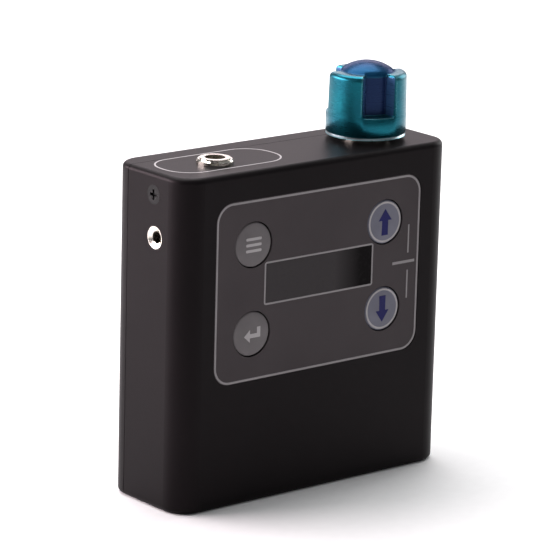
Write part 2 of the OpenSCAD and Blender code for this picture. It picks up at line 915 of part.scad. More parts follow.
// Round nut with two slots for a fork driver
module jack_nut() color([0.85, 0.83, 0.77]) {
    difference() {
        union() {
            rod_z([jack_x, jack_y], body_h, body_h + jack_nut_h - jack_chamfer, jack_nut_d / 2);
            translate([jack_x, jack_y, body_h + jack_nut_h - jack_chamfer])
                cylinder(r1 = jack_nut_d / 2, r2 = jack_nut_d / 2 - jack_chamfer, h = jack_chamfer);
        }
        rod_z([jack_x, jack_y], body_h - over, body_h + jack_nut_h + over, jack_ferrule_r + fit_gap);
        translate([jack_x, jack_y, 0]) rotate(jack_slot_angle)
            box([-jack_nut_d, -jack_slot_w / 2, body_h + jack_nut_h - jack_slot_h],
                [jack_nut_d, jack_slot_w / 2, body_h + jack_nut_h + over]);
    }
}

// Leaf springs beside the plug's path, with tails to the control board
module jack_contacts() color([0.85, 0.75, 0.45]) {
    leaf_y = jack_y - jack_bore_r - slip_gap - leaf_t - part_gap;
    for (z = leaf_places) {
        box([jack_x - leaf_w / 2, leaf_y, z - leaf_h / 2],
            [jack_x + leaf_w / 2, leaf_y + leaf_t, z + leaf_h / 2]);
        box([jack_x - terminal_w / 2, control_back, z],
            [jack_x + terminal_w / 2, leaf_y + leaf_t, z + terminal_t]);
    }
}

// Battery

module battery_pack() color([0.1, 0.22, 0.5]) {
    difference() {
        extrude_y(battery_front, battery_back) translate([0, battery_z])
            round_rect(battery_w, battery_h, battery_r);
        label_sheet(battery_back + over);
        for (x = contact_places) terminal_box(x, over);
    }
}

// Label on the back of the pack, out to the plane y
module label_sheet(y) {
    extrude_y(battery_back - label_t, y) translate([0, battery_z])
        square([battery_w - 2 * label_margin, battery_h - 2 * label_margin], center = true);
}

module battery_label() color([0.92, 0.92, 0.93]) label_sheet(battery_back);

// Contact pad in the foot of the pack, drawn out below it by the given length
module terminal_box(x, below) {
    box([x - pad_w / 2, battery_y - pad_d / 2, battery_bottom - below],
        [x + pad_w / 2, battery_y + pad_d / 2, battery_bottom + pad_t]);
}

module battery_terminals() color([0.85, 0.7, 0.35]) {
    for (x = contact_places) terminal_box(x, 0);
}

module battery_tray() color([0.16, 0.16, 0.17]) {
    outer_w = tray_in_w + 2 * tray_wall;
    outer_h = tray_in_h + 2 * tray_wall;
    difference() {
        extrude_y(tray_front, inner_back) translate([0, battery_z]) square([outer_w, outer_h], center = true);
        extrude_y(tray_front + tray_wall, inner_back + over) translate([0, battery_z])
            square([tray_in_w, tray_in_h], center = true);
        for (x = contact_places)
            rod_z([x, battery_y], tray_bottom - over, battery_bottom, pin_r + part_gap);
    }
}

module contact_block() color([0.18, 0.18, 0.19]) {
    difference() {
        box([-block_w / 2, block_y0, inner_bottom], [block_w / 2, block_y1, tray_bottom]);
        for (x = contact_places) {
            rod_z([x, battery_y], pin_bottom, tray_bottom + over, pin_r + fit_gap);
            box([x - pin_r - fit_gap, block_y0 - over, pin_bottom],
                [x + pin_r + fit_gap, battery_y, tray_bottom + over]);
        }
    }
}

// Pins that meet the battery pack, with tails to the back of the main board
module contact_pins() color([0.85, 0.7, 0.35]) {
    for (x = contact_places) {
        rod_z([x, battery_y], pin_bottom, battery_bottom, pin_r);
        box([x - pin_r, main_back, pin_tail_z], [x + pin_r, battery_y, pin_tail_z + pin_tail_h]);
    }
}

module charge_block() color([0.14, 0.14, 0.15]) {
    flange_x = charge_w / 2 + charge_flange;
    flange_y = charge_d / 2 + charge_flange;
    difference() {
        union() {
            box([-charge_w / 2, charge_y - charge_d / 2, 0],
                [charge_w / 2, charge_y + charge_d / 2, inner_bottom + charge_flange_t]);
            box([-flange_x, charge_y - flange_y, inner_bottom],
                [flange_x, charge_y + flange_y, inner_bottom + charge_flange_t]);
        }
        for (x = contact_places) {
            rod_z([x, charge_y], -over, charge_pad_top, charge_pad_r + fit_gap);
            rod_z([x, charge_y], 0, inner_bottom + charge_flange_t + over, pin_r + fit_gap);
        }
    }
}

// Gilt pads in the base, with posts and tails to the front of the main board
module charge_contacts() color([0.85, 0.7, 0.35]) {
    for (x = contact_places) {
        rod_z([x, charge_y], charge_inset, charge_pad_top, charge_pad_r);
        rod_z([x, charge_y], charge_inset, charge_tail_z + charge_tail_h, pin_r);
        box([x - pin_r, charge_y, charge_tail_z], [x + pin_r, main_front, charge_tail_z + charge_tail_h]);
    }
}

// Door of the battery compartment, hinged on an upright pin
module battery_door() color([0.13, 0.12, 0.125]) {
    z0 = door_z0 + swing_gap;
    z1 = door_z1 - swing_gap;
    difference() {
        union() {
            box([door_left + swing_gap, inner_back, z0], [hinge_x, back_y, z1]);
            rod_z([hinge_x, hinge_y], z0, z1, knuckle_r);
        }
        rod_z([hinge_x, hinge_y], z0 - over, z1 + over, hinge_pin_r + slip_gap);
        for (i = [0:grip_count - 1])
            box([door_left + grip_in + i * grip_pitch, back_y - grip_depth, battery_z - grip_h / 2],
                [door_left + grip_in + i * grip_pitch + grip_w, back_y + over, battery_z + grip_h / 2]);
    }
}

module door_hinge_pin() color([0.75, 0.75, 0.74]) {
    rod_z([hinge_x, hinge_y], door_z0 - hinge_pin_grip, door_z1 + hinge_pin_grip, hinge_pin_r);
}

front_housing();
rear_shell();
case_screws();
side_screws();
clip_bush_left();
clip_bush_right();
front_overlay();
display_window();
display_glass();
display_holder();
key_menu();
key_back();
key_up();
key_down();
actuator_menu();
actuator_back();
actuator_up();
actuator_down();
tact_switches();
control_board();
main_board();
board_plug();
board_socket();
main_chips();
radio_shield();
board_spacers();
board_screws();
board_posts();
case_posts();
volume_knob();
knob_set_screw();
volume_pot();
pot_shaft();
pot_washer();
pot_nut();
pot_terminals();
jack_body();
jack_ferrule();
jack_nut();
jack_contacts();
battery_pack();
battery_label();
battery_terminals();
battery_tray();
contact_block();
contact_pins();
charge_block();
charge_contacts();
battery_door();
door_hinge_pin();
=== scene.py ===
"""Looks of the wireless bodypack receiver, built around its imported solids.

Places are in metres in the frame of the solids; values and helpers in millimetres say so.
"""
import math

import bmesh
import bpy
from mathutils import Matrix, Vector


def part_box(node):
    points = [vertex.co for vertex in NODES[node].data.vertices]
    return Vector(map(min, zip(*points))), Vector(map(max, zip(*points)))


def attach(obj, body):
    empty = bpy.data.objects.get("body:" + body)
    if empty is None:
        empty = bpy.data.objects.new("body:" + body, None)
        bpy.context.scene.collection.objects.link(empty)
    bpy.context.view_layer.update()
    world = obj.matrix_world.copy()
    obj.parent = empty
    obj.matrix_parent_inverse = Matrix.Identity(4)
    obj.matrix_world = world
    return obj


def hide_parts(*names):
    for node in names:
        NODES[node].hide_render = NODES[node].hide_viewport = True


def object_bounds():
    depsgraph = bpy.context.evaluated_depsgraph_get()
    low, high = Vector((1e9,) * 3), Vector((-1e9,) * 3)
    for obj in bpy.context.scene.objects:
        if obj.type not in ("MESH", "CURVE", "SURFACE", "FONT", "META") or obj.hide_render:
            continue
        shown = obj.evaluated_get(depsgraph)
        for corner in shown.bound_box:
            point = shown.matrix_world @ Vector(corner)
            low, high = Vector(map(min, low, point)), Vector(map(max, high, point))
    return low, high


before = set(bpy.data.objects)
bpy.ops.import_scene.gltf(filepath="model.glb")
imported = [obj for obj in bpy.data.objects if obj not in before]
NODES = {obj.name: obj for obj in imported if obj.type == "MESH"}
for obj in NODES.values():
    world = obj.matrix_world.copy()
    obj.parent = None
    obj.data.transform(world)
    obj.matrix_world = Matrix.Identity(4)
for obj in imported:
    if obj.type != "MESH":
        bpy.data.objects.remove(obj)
cad_low, cad_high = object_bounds()
MM = 0.001

# Camera: where the photograph was taken from, in the frame of the part
CAMERA_PLACE = Vector((-0.3804, -0.4582, 0.1934))
CAMERA_TARGET = Vector((-0.0005, 0.0, 0.0362))
CAMERA_LENS = 222.0
CAMERA_ROLL = math.radians(1.55)
CAMERA_SENSOR = 36.0
CAMERA_CLIP = (0.01, 20.0)

# Printed lines and marks on the front, the top and the back, in millimetres; the jack's panel is its
# width, depth and corner radius
INK_HEIGHT = 0.025
OUTLINE_WIDTH = 0.38
OUTLINE_INSET = 0.12
WINDOW_LINE = 0.32
WINDOW_GAP = 0.06
WINDOW_RADII = (0.5, 0.18)
OVERLAY_RADIUS = 3.5
THIN_LINE = 0.3
BRACKET_X = 20.7
BRACKET_GAPS = (1.6, 1.2)
DASH_X = (17.1, 22.3)
DASH_HALF = 0.25
JACK_PANEL = (24.5, 11.6, 5.2)
JACK_PANEL_SHIFT = (1.7, 1.2)
DOOR_MARK_X = 12.5
DOOR_MARK = ((1.6, -1.5), (1.6, 1.5), (-1.2, 0.0))

# Keys and the marks on them, in millimetres; a bar is its length, thickness and corner radius
KEY_CROWN = 0.16
KEY_LIP = 0.32
KEY_COLLAR = 0.5
KEY_COLLAR_ENDS = (0.6, 0.2)
KEY_STEM = 1.5
KEY_STEPS = 72
KEY_MARK_HEIGHT = 0.06
MENU_BAR = (3.4, 0.5, 0.2)
MENU_PITCH = 1.05
BACK_SIZE = 3.4
ARROW_SIZE = 4.8
KEY_RING_INSETS = (0.28, 0.62)
KEY_RING_POINTS = 48

# Battery label and its marks, in millimetres; the band is how much narrower it is than the frame,
# its height and its corner radius
LABEL_MARGIN = 1.0
LABEL_RADIUS = 1.0
LABEL_BAND = (1.4, 4.6, 0.5)
LABEL_BAND_DROP = 1.8
POLE_X = 4.0
POLE_RISE = 4.6
POLE_SIZE = (2.8, 0.6)
LABEL_ARROW = 7.0
LABEL_ARROW_DROP = 0.5

# Knob, in millimetres and degrees; its recess is a radius and a depth, its lip an inset and a height
KNOB_CORE = 4.75
KNOB_RING = 4.1
KNOB_LOBE = 7.4
KNOB_STEP = 0.2
KNOB_DRAFT = 0.15
KNOB_SHOULDER = 0.9
KNOB_RECESS = (5.32, 2.6)
LOBE_ANGLE = 70.0
LOBE_COUNT = 3
FLUTE_ANGLE = 250.0
LOBE_EDGE = 2.8
KNOB_LIP = (0.4, 0.5)
KNOB_SOFT = 0.25
KNOB_NICK = 0.1
LIP_NICK = 0.06
RIM_INSET = 0.02
DOME_INSET = 0.35
DOME_STEPS = 10
LINE_POINTS = 44
ANGLE_STEP = 3.0
LOBE_STEPS = 10
FLUTE_STEPS = 7
EDGE_STEPS = 5
KNOB_SHARP = 50.0

# Knob's colour zones, where shade is painted in the flutes and a reflection on the dome: distances
# from its axis and below the lobes' top, in millimetres
FLUTE_SHADE_REACH = (6.9, 6.55)
CORE_SHADE_REACH = (5.15, 4.9)
DOME_REFLECTION_REACH = (5.3, 4.8)
TOP_BLEND = (0.6, 0.25)
RING_BLEND = 0.25
LIP_BLEND = (0.02, 0.05)

# Colour of the sheen on the black case and its overlay
WARM_SHEEN = (1.0, 0.85, 0.9, 1.0)

# Shader values: the range of most of a noise, the dot product on a face and on an edge, and the
# sockets of a colour mix
CLOUD = (0.3, 0.7)
EDGE_DOT = (0.995, 0.86)
MIX_INPUTS = (6, 7)
MIX_OUTPUT = 2

# Soft boxes: name, place, target, size in metres, power in watts, colour
WHITE_LIGHT = (1.0, 1.0, 1.0)
WARM_LIGHT = (1.0, 0.86, 0.91)
LIGHTS = (
    ("top_box", (0.1, 0.35, 0.9), (0.05, 0.1, 0.0), (1.0, 0.8), 13.0, WHITE_LIGHT),
    ("left_box", (-0.225, 0.19, 0.13), (-0.03, 0.0, 0.06), (0.26, 0.1), 1.35, WARM_LIGHT),
    ("right_box", (0.5, 0.04, 0.2), (0.02, 0.0, 0.07), (0.3, 0.3), 1.0, WHITE_LIGHT),
    ("back_box", (0.42, 0.62, 0.36), (0.0, 0.0, 0.06), (0.7, 0.25), 1.4, WARM_LIGHT),
    ("front_fill", (-0.12, -0.3, 0.34), (0.0, 0.0, 0.05), (0.25, 0.2), 0.1, WHITE_LIGHT),
)
WORLD_COLOR = (0.95, 0.96, 1.0, 1.0)
WORLD_STRENGTH = 0.2

# Floor: half its side, and its distance under the part
FLOOR_HALF = 6.0
FLOOR_DROP = 0.00002


# Materials

class Paint:
    """A Principled material, with short calls for the nodes that feed it."""

    def __init__(self, name, color, roughness, metallic=0.0, specular=0.5, **sockets):
        self.material = bpy.data.materials.new(name)
        self.material.use_nodes = True
        self.material.diffuse_color = (*color, 1.0)
        self.nodes = self.material.node_tree.nodes
        self.links = self.material.node_tree.links
        self.shader = self.nodes["Principled BSDF"]
        self.set("Base Color", (*color, 1.0))
        self.set("Roughness", roughness)
        self.set("Metallic", metallic)
        self.set("Specular IOR Level", specular)
        for socket, value in sockets.items():
            self.set(socket.replace("_", " ").title(), value)

    def set(self, socket, value):
        self.shader.inputs[socket].default_value = value

    def add(self, kind, **settings):
        node = self.nodes.new(kind)
        for key, value in settings.items():
            setattr(node, key, value)
        return node

    def link(self, output, target):
        self.links.new(output, target)

    def position(self, stretch=(1.0, 1.0, 1.0)):
        """Place on the object, in metres, stretched along its axes."""
        coordinates = self.add("ShaderNodeTexCoord")
        mapping = self.add("ShaderNodeMapping")
        mapping.inputs["Scale"].default_value = stretch
        self.link(coordinates.outputs["Object"], mapping.inputs["Vector"])
        return mapping.outputs["Vector"]

    def noise(self, per_mm, detail=3.0, stretch=(1.0, 1.0, 1.0)):
        node = self.add("ShaderNodeTexNoise")
        node.inputs["Scale"].default_value = per_mm / MM
        node.inputs["Detail"].default_value = detail
        self.link(self.position(stretch), node.inputs["Vector"])
        return node.outputs["Fac"]

    def ramp(self, value, low, high, start=0.0, end=1.0):
        """Value from low to high, mapped to start to end."""
        node = self.add("ShaderNodeMapRange")
        self.link(value, node.inputs["Value"])
        node.inputs["From Min"].default_value = low
        node.inputs["From Max"].default_value = high
        node.inputs["To Min"].default_value = start
        node.inputs["To Max"].default_value = end
        return node.outputs["Result"]

    def times(self, first, second):
        node = self.add("ShaderNodeMath", operation="MULTIPLY")
        self.link(first, node.inputs[0])
        self.link(second, node.inputs[1])
        return node.outputs["Value"]

    def mix(self, factor, first, second):
        """Colour between two colours or colour outputs."""
        node = self.add("ShaderNodeMix", data_type="RGBA")
        self.link(factor, node.inputs["Factor"])
        for index, value in zip(MIX_INPUTS, (first, second)):
            socket = node.inputs[index]
            if isinstance(value, tuple):
                socket.default_value = (*value, 1.0)
            else:
                self.link(value, socket)
        return node.outputs[MIX_OUTPUT]

    def base(self, output):
        self.link(output, self.shader.inputs["Base Color"])

    def rough(self, value, low, high):
        self.link(self.ramp(value, *CLOUD, low, high), self.shader.inputs["Roughness"])

    def bump(self, height, depth_mm, strength=1.0):
        node = self.add("ShaderNodeBump")
        node.inputs["Strength"].default_value = strength
        node.inputs["Distance"].default_value = depth_mm * MM
        self.link(height, node.inputs["Height"])
        self.link(node.outputs["Normal"], self.shader.inputs["Normal"])

    def edges(self, radius_mm):
        """1 on outer and inner edges, 0 on the faces."""
        bevel = self.add("ShaderNodeBevel", samples=6)
        bevel.inputs["Radius"].default_value = radius_mm * MM
        geometry = self.add("ShaderNodeNewGeometry")
        dot = self.add("ShaderNodeVectorMath", operation="DOT_PRODUCT")
        self.link(bevel.outputs["Normal"], dot.inputs[0])
        self.link(geometry.outputs["Normal"], dot.inputs[1])
        return self.ramp(dot.outputs["Value"], *EDGE_DOT)


def tone(color, gain):
    return tuple(min(1.0, channel * gain) for channel in color)


def grained(name, color, roughness, grain, depth, spread=0.12, **settings):
    """Plain material with a cloudy tone, a roughness that follows it and a fine grain."""
    paint = Paint(name, color, roughness, **settings)
    cloud = paint.noise(0.12)
    light = paint.ramp(cloud, *CLOUD)
    paint.base(paint.mix(light, tone(color, 1 - spread), tone(color, 1 + spread)))
    paint.rough(cloud, roughness - 0.04, roughness + 0.04)
    paint.bump(paint.noise(grain), depth)
    return paint


def case_black():
    """Black hard-anodised metal: fine blasted grain, with a little wear on its edges."""
    color, bare = (0.0036, 0.0029, 0.0032), (0.022, 0.0195, 0.0205)
    paint = Paint("case_black", color, 0.44, specular=0.1, specular_tint=WARM_SHEEN)
    cloud = paint.noise(0.05)
    fine = paint.noise(7.0, 2.0)
    body = paint.mix(paint.ramp(cloud, 0.35, 0.65), tone(color, 0.85), tone(color, 1.2))
    wear_and_highlight = paint.times(paint.edges(0.3), paint.ramp(paint.noise(0.2, 4.0), 0.4, 0.75, 0.0, 0.7))
    paint.base(paint.mix(wear_and_highlight, body, bare))
    paint.rough(fine, 0.4, 0.5)
    paint.bump(fine, 0.012, 0.55)
    return paint.material


def overlay_film():
    """Dark grey printed polyester with a fine matt texture."""
    color = (0.042, 0.036, 0.038)
    paint = Paint("overlay_film", color, 0.5, specular=0.2, specular_tint=WARM_SHEEN)
    cloud = paint.noise(0.06)
    fine = paint.noise(9.0, 2.0)
    paint.base(paint.mix(paint.ramp(cloud, *CLOUD), tone(color, 0.9), tone(color, 1.12)))
    paint.rough(fine, 0.44, 0.56)
    paint.bump(fine, 0.006, 0.5)
    return paint.material


def ink(name, color, **settings):
    return grained(name, color, 0.55, 6.0, 0.004, 0.08, **settings).material


def window_plastic():
    """Smoked, glossy display window, with painted shade that darkens it towards its right end, and a
    trace of dust.
    """
    dark, clear, dusty = (0.003, 0.0027, 0.0028), (0.047, 0.043, 0.0445), (0.03, 0.028, 0.029)
    paint = Paint("window_plastic", dark, 0.12, specular=0.04, specular_tint=WARM_SHEEN)
    dust = paint.noise(1.4, 6.0)
    split = paint.add("ShaderNodeSeparateXYZ")
    paint.link(paint.position(), split.inputs["Vector"])
    # Painted shade: lighter at the window's left end and darkening towards its right end, for the
    # shadow on the recessed display behind it.
    window_shade = paint.mix(paint.ramp(split.outputs["X"], 0.0035, 0.0095), clear, dark)
    paint.base(paint.mix(paint.ramp(dust, 0.5, 0.9, 0.0, 0.3), window_shade, dusty))
    paint.rough(dust, 0.1, 0.2)
    paint.bump(paint.noise(0.15), 0.01, 0.2)
    return paint.material


def key_plastic(name, color):
    paint = Paint(name, color, 0.42, specular=0.25)
    cloud = paint.noise(0.25)
    fine = paint.noise(8.0, 2.0)
    paint.base(paint.mix(paint.ramp(cloud, *CLOUD), tone(color, 0.9), tone(color, 1.1)))
    paint.rough(fine, 0.36, 0.5)
    paint.bump(fine, 0.006, 0.5)
    return paint.material


def knob_anodised():
    """Anodised metal with turning marks: teal lobes and ring, a bare foot, painted navy shade in the
    flutes, a painted bluer reflection on the dome and painted highlights on the lobes' edges.
    """
    # The knob's own colour is teal; the dome's bluer colour is a painted reflection, the darker navy
    # colours of the flutes are painted shade, and the pale edge colour is a painted highlight.
    teal, navy, dome_reflection_blue = (0.008, 0.135, 0.175), (0.014, 0.03, 0.1), (0.005, 0.053, 0.126)
    dark, flute_wall_shade = (0.009, 0.022, 0.075), (0.05, 0.125, 0.27)
    bare, wear_and_highlight = (0.55, 0.6, 0.62), (0.2, 0.5, 0.56)
    plain_sheen, dome_sheen, flute_sheen = (1.0, 1.0, 1.0), (0.14, 0.24, 0.36), (0.42, 0.56, 0.85)
    metal, flute_metal, dome_metal = 0.92, 0.4, 0.55
    low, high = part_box("volume_knob")
    ring_top = low.z + KNOB_RING * MM
    lobe_top = ring_top + KNOB_LOBE * MM
    blend_low, blend_high = (lobe_top - drop * MM for drop in TOP_BLEND)
    lip = low.z + KNOB_LIP[1] * MM
    paint = Paint("knob_anodised", teal, 0.28, metallic=metal, specular=0.4)
    place = paint.position()
    split = paint.add("ShaderNodeSeparateXYZ")
    paint.link(place, split.inputs["Vector"])
    height = split.outputs["Z"]
    from_axis = paint.add("ShaderNodeVectorMath", operation="SUBTRACT")
    from_axis.inputs[1].default_value = ((low.x + high.x) / 2, (low.y + high.y) / 2, 0.0)
    flat = paint.add("ShaderNodeVectorMath", operation="MULTIPLY")
    flat.inputs[1].default_value = (1.0, 1.0, 0.0)
    length = paint.add("ShaderNodeVectorMath", operation="LENGTH")
    paint.link(place, from_axis.inputs[0])
    paint.link(from_axis.outputs["Vector"], flat.inputs[0])
    paint.link(flat.outputs["Vector"], length.inputs[0])

    def within(distances):
        """0 beyond the first distance from the axis, 1 nearer than the second, in millimetres."""
        far, near = distances
        return paint.ramp(length.outputs["Value"], far * MM, near * MM)

    above_ring = paint.ramp(height, ring_top, ring_top + RING_BLEND * MM)
    below_top = paint.ramp(height, blend_high, blend_low)
    # Painted shade: the flutes' walls and core get darker navy colours, less metal and their own
    # sheen colour, for the shade inside the flutes.
    flute_shade_mask = paint.times(paint.times(above_ring, below_top), within(FLUTE_SHADE_REACH))
    flute = paint.mix(within(CORE_SHADE_REACH), flute_wall_shade, dark)
    # Painted reflection: the dome gets a brighter, bluer colour, less metal and its own sheen
    # colour, for the reflection on its top.
    dome_reflection_mask = paint.times(paint.ramp(height, blend_low, blend_high), within(DOME_REFLECTION_REACH))
    body = paint.mix(dome_reflection_mask, paint.mix(flute_shade_mask, teal, flute), dome_reflection_blue)
    sheen = paint.mix(flute_shade_mask, paint.mix(dome_reflection_mask, plain_sheen, dome_sheen), flute_sheen)
    paint.link(sheen, paint.shader.inputs["Specular Tint"])
    above_lip = paint.ramp(height, lip - LIP_BLEND[0] * MM, lip + LIP_BLEND[1] * MM)
    foot = paint.mix(above_lip, bare, body)
    shade = paint.mix(paint.ramp(paint.noise(0.2), 0.35, 0.65, 0.0, 0.25), foot, tone(navy, 0.8))
    # Painted highlight: a paler teal along the lobes' outer edges, left off inside the flutes.
    edges = paint.ramp(paint.edges(0.35), 0.06, 0.5, 0.0, 0.9)
    edge_highlight_mask = paint.times(edges, paint.ramp(flute_shade_mask, 0.0, 0.5, 1.0, 0.0))
    paint.base(paint.mix(edge_highlight_mask, shade, wear_and_highlight))
    bright = paint.times(paint.ramp(flute_shade_mask, 0.0, 1.0, metal, flute_metal),
                         paint.ramp(dome_reflection_mask, 0.0, 1.0, 1.0, dome_metal))
    paint.link(bright, paint.shader.inputs["Metallic"])
    turned = paint.noise(0.5, 3.0, (1.0, 1.0, 14.0))
    paint.rough(turned, 0.24, 0.38)
    paint.bump(turned, 0.006, 0.35)
    return paint.material


def plated(name, color, roughness):
    """Plated metal with fine turning or drawing marks and dull patches."""
    paint = Paint(name, color, roughness, metallic=1.0)
    marks = paint.noise(1.2, 4.0, (1.0, 1.0, 8.0))
    cloud = paint.noise(0.3, 5.0)
    paint.base(paint.mix(paint.ramp(cloud, 0.3, 0.75), tone(color, 0.8), tone(color, 1.06)))
    paint.rough(marks, max(0.05, roughness - 0.08), roughness + 0.08)
    paint.bump(marks, 0.006, 0.4)
    return paint.material


def circuit_board():
    """Green solder mask over copper tracks."""
    color, copper = (0.006, 0.075, 0.026), (0.014, 0.13, 0.05)
    paint = Paint("circuit_board", color, 0.34)
    tracks = paint.add("ShaderNodeTexBrick")
    tracks.inputs["Scale"].default_value = 0.35 / MM
    tracks.inputs["Mortar Size"].default_value = 0.03
    paint.link(paint.position(), tracks.inputs["Vector"])
    paint.base(paint.mix(paint.ramp(tracks.outputs["Fac"], 0.0, 1.0), color, copper))
    paint.bump(tracks.outputs["Fac"], 0.03)
    return paint.material


def floor_paper():
    shaded, mean, pale = ((grey, grey, grey) for grey in (0.85, 0.86, 0.87))
    paint = Paint("floor_paper", mean, 0.75, specular=0.2)
    fibre = paint.noise(0.4, 6.0)
    paint.base(paint.mix(paint.ramp(fibre, *CLOUD), shaded, pale))
    return paint.material


CASE = case_black()
OVERLAY = overlay_film()
LINE_INK = ink("line_ink", (0.24, 0.222, 0.228))
PALE_INK = ink("pale_ink", (0.36, 0.34, 0.345))
BLUE_INK = ink("blue_ink", (0.006, 0.006, 0.085), specular=0.2)
TOP_INK = ink("top_ink", (0.4, 0.38, 0.385))
WINDOW = window_plastic()
GREY_KEY = key_plastic("grey_key", (0.125, 0.113, 0.117))
BLUE_KEY = key_plastic("blue_key", (0.135, 0.135, 0.172))
KNOB = knob_anodised()
NICKEL = plated("nickel", (0.78, 0.74, 0.66), 0.2)
BLACK_STEEL = grained("black_steel", (0.006, 0.0058, 0.006), 0.35, 4.0, 0.01,
                      specular=0.15).material
TIN = plated("tin_plate", (0.62, 0.62, 0.6), 0.32)
GOLD = plated("gold_plate", (0.83, 0.58, 0.2), 0.22)
BRASS = plated("brass", (0.62, 0.44, 0.16), 0.3)
BOARD = circuit_board()
BLACK_PLASTIC = grained("black_plastic", (0.018, 0.018, 0.02), 0.5, 5.0, 0.01).material
WHITE_PLASTIC = grained("white_plastic", (0.7, 0.7, 0.67), 0.45, 5.0, 0.008).material
RED_PLASTIC = grained("red_plastic", (0.45, 0.06, 0.05), 0.4, 5.0, 0.008).material
DISPLAY = grained("display_glass", (0.02, 0.022, 0.02), 0.15, 2.0, 0.002).material
BATTERY_BLUE = grained("battery_blue", (0.008, 0.03, 0.14), 0.36, 5.0, 0.006).material
LABEL_WHITE = grained("label_white", (0.42, 0.42, 0.43), 0.5, 4.0, 0.004, 0.05).material
LABEL_INK = ink("label_ink", (0.03, 0.03, 0.035))
LABEL_BLUE = ink("label_blue", (0.008, 0.034, 0.16))

FINISHES = {
    "front_housing": CASE, "rear_shell": CASE, "battery_door": CASE,
    "case_screws": BLACK_STEEL, "side_screws": BLACK_STEEL, "knob_set_screw": BLACK_STEEL,
    "clip_bush_left": NICKEL, "clip_bush_right": NICKEL, "jack_nut": NICKEL, "jack_ferrule": NICKEL,
    "pot_shaft": NICKEL, "pot_washer": NICKEL, "pot_nut": NICKEL, "board_screws": NICKEL,
    "door_hinge_pin": NICKEL, "case_posts": NICKEL,
    "front_overlay": OVERLAY, "display_window": WINDOW, "display_glass": DISPLAY,
    "display_holder": WHITE_PLASTIC, "board_plug": WHITE_PLASTIC,
    "actuator_menu": RED_PLASTIC, "actuator_back": RED_PLASTIC,
    "actuator_up": RED_PLASTIC, "actuator_down": RED_PLASTIC,
    "tact_switches": TIN, "radio_shield": TIN, "volume_pot": TIN,
    "control_board": BOARD, "main_board": BOARD, "board_spacers": BRASS, "board_posts": BRASS,
    "board_socket": BLACK_PLASTIC, "main_chips": BLACK_PLASTIC, "jack_body": BLACK_PLASTIC,
    "battery_tray": BLACK_PLASTIC, "contact_block": BLACK_PLASTIC, "charge_block": BLACK_PLASTIC,
    "pot_terminals": GOLD, "jack_contacts": GOLD, "battery_terminals": GOLD, "contact_pins": GOLD,
    "charge_contacts": GOLD,
    "battery_pack": BATTERY_BLUE, "battery_label": LABEL_WHITE,
    "key_menu": GREY_KEY, "key_back": GREY_KEY, "key_up": BLUE_KEY, "key_down": BLUE_KEY,
    "volume_knob": KNOB,
}


def dress_nodes():
    for name, node in NODES.items():
        node.data.materials.clear()
        node.data.materials.append(FINISHES[name])


# Mesh helpers

# Distance at which points are joined, and the smallest length that counts
WELD = 1e-7
TINY = 1e-9


def make_piece(name, vertices, faces, material, body, sharp=35.0):
    """New mesh piece with clean normals, smooth but for its sharp edges, riding on a body."""
    mesh = bpy.data.meshes.new(name)
    mesh.from_pydata([tuple(v) for v in vertices], [], faces)
    work = bmesh.new()
    work.from_mesh(mesh)
    bmesh.ops.remove_doubles(work, verts=work.verts, dist=WELD)
    bmesh.ops.recalc_face_normals(work, faces=work.faces)
    work.to_mesh(mesh)
    work.free()
    mesh.materials.append(material)
    mesh.shade_smooth()
    mesh.set_sharp_from_angle(angle=math.radians(sharp))
    piece = bpy.data.objects.new(name, mesh)
    bpy.context.scene.collection.objects.link(piece)
    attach(piece, body)
    return piece


def revolve(profile, steps):
    """Vertices and faces of a closed lathe form; the profile's ends are on the axis."""
    vertices = []
    for i in range(steps):
        a = 2 * math.pi * i / steps
        vertices += [(r * math.cos(a), r * math.sin(a), h) for r, h in profile]
    n = len(profile)
    faces = []
    for i in range(steps):
        j = (i + 1) % steps
        faces += [(i * n + k, j * n + k, j * n + k + 1, i * n + k + 1) for k in range(n - 1)]
    return vertices, faces


def prism(outline, place, height):
    """Vertices and faces of an outline drawn out by height; place(u, v, h) is a point in space."""
    n = len(outline)
    vertices = [place(u, v, h) for h in (0.0, height) for u, v in outline]
    faces = [tuple(range(n)), tuple(range(2 * n - 1, n - 1, -1))]
    faces += [(i, (i + 1) % n, n + (i + 1) % n, n + i) for i in range(n)]
    return vertices, faces


def band(outer, inner, place, height):
    """Vertices and faces of a flat strip between two closed lines of points, drawn out by height."""
    n = len(outer)
    vertices = [place(u, v, h) for h in (0.0, height) for line in (outer, inner) for u, v in line]
    faces = []
    for i in range(n):
        j = (i + 1) % n
        low_out, low_in, high_out, high_in = (k * n for k in range(4))
        faces.append((low_out + i, low_out + j, low_in + j, low_in + i))
        faces.append((high_out + i, high_in + i, high_in + j, high_out + j))
        faces.append((low_out + i, high_out + i, high_out + j, low_out + j))
        faces.append((low_in + i, low_in + j, high_in + j, high_in + i))
    return vertices, faces


def round_rect(width, height, radius, middle, steps=8):
    """Points of a rectangle with round corners."""
    points = []
    corners = ((1, 1, 0), (-1, 1, 90), (-1, -1, 180), (1, -1, 270))
    for sx, sy, start in corners:
        cx = middle[0] + sx * (width / 2 - radius)
        cy = middle[1] + sy * (height / 2 - radius)
        for k in range(steps + 1):
            a = math.radians(start + 90 * k / steps)
            points.append((cx + radius * math.cos(a), cy + radius * math.sin(a)))
    return points


def arc(radius, start, end, middle, steps):
    """Points along an arc, angles in degrees."""
    angles = [math.radians(start + (end - start) * k / steps) for k in range(steps + 1)]
    return [(middle[0] + radius * math.cos(a), middle[1] + radius * math.sin(a)) for a in angles]


def on_plane(axis, level, sign):
    """Place function for marks on a face square to Y or Z; heights run out of the face."""
    if axis == "y":
        return lambda u, v, h: (u, level + sign * h, v)
    return lambda u, v, h: (u, v, level + sign * h)


def box_mm(node):
    """Lowest and highest corner of a node, in millimetres."""
    low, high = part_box(node)
    return low / MM, high / MM


def mark(name, shape, material, body):
    """Thin printed mark from a shape in millimetres."""
    vertices, faces = shape
    make_piece(name, [Vector(v) * MM for v in vertices], faces, material, body)


# Front panel prints

